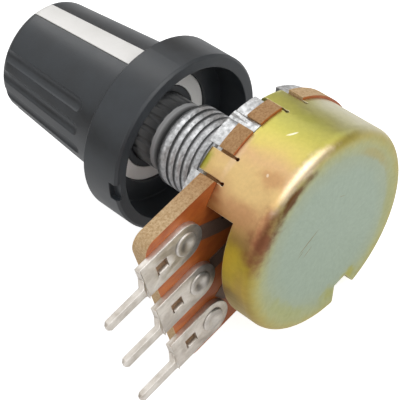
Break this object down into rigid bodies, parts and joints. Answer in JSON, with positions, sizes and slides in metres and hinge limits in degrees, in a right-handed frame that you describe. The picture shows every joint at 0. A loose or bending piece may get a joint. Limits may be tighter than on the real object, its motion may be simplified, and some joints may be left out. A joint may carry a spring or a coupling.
{
  "type": "rotary potentiometer",
  "caption": "Panel-mount rotary potentiometer with threaded bushing, plated steel cover, flat pin terminals and a black pointer knob on its shaft.",
  "frame": {"origin": "centre of the panel seat face of the front plate, on the shaft axis", "axes": "+X from the shaft towards the terminals, -Y along the shaft towards the knob, +Z across the terminals, so that the part lies on its side"},
  "size_m": [0.0258, 0.0318, 0.0172],
  "materials": {
    "zinc_casting": "rough cast",
    "phenolic_board": "punched laminate",
    "carbon_film": "matt print",
    "silver_film": "matt print",
    "tinned_brass": "dull tin plate",
    "eyelet_metal": "satin tin plate",
    "chromate_steel": "yellow passivated zinc plate",
    "shaft_metal": "satin",
    "rotor_plastic": "moulded",
    "spring_bronze": "rolled strip",
    "knob_plastic": "fine satin moulding",
    "white_plastic": "satin moulding"
  },
  "bodies": {
    "housing": {"front_plate": "zinc_casting", "resistor_board": "phenolic_board", "resistance_track": "carbon_film", "track_end_left": "silver_film", "track_end_right": "silver_film", "collector_ring": "silver_film", "terminal_left": "tinned_brass", "terminal_centre": "tinned_brass", "terminal_right": "tinned_brass", "eyelet_left": "eyelet_metal", "eyelet_centre": "eyelet_metal", "eyelet_right": "eyelet_metal", "rear_cover": "chromate_steel"},
    "spindle": {"shaft": "shaft_metal", "rotor": "rotor_plastic", "wiper": "spring_bronze", "rotor_washer": "eyelet_metal", "knob_shell": "knob_plastic", "knob_insert": "white_plastic"}
  },
  "joints": [
    {"name": "shaft_turn", "type": "hinge", "parent": "housing", "child": "spindle", "pos_m": [0, 0, 0], "axis": [0, -1, 0], "range_deg": [-72.75, 227.25]}
  ]
}
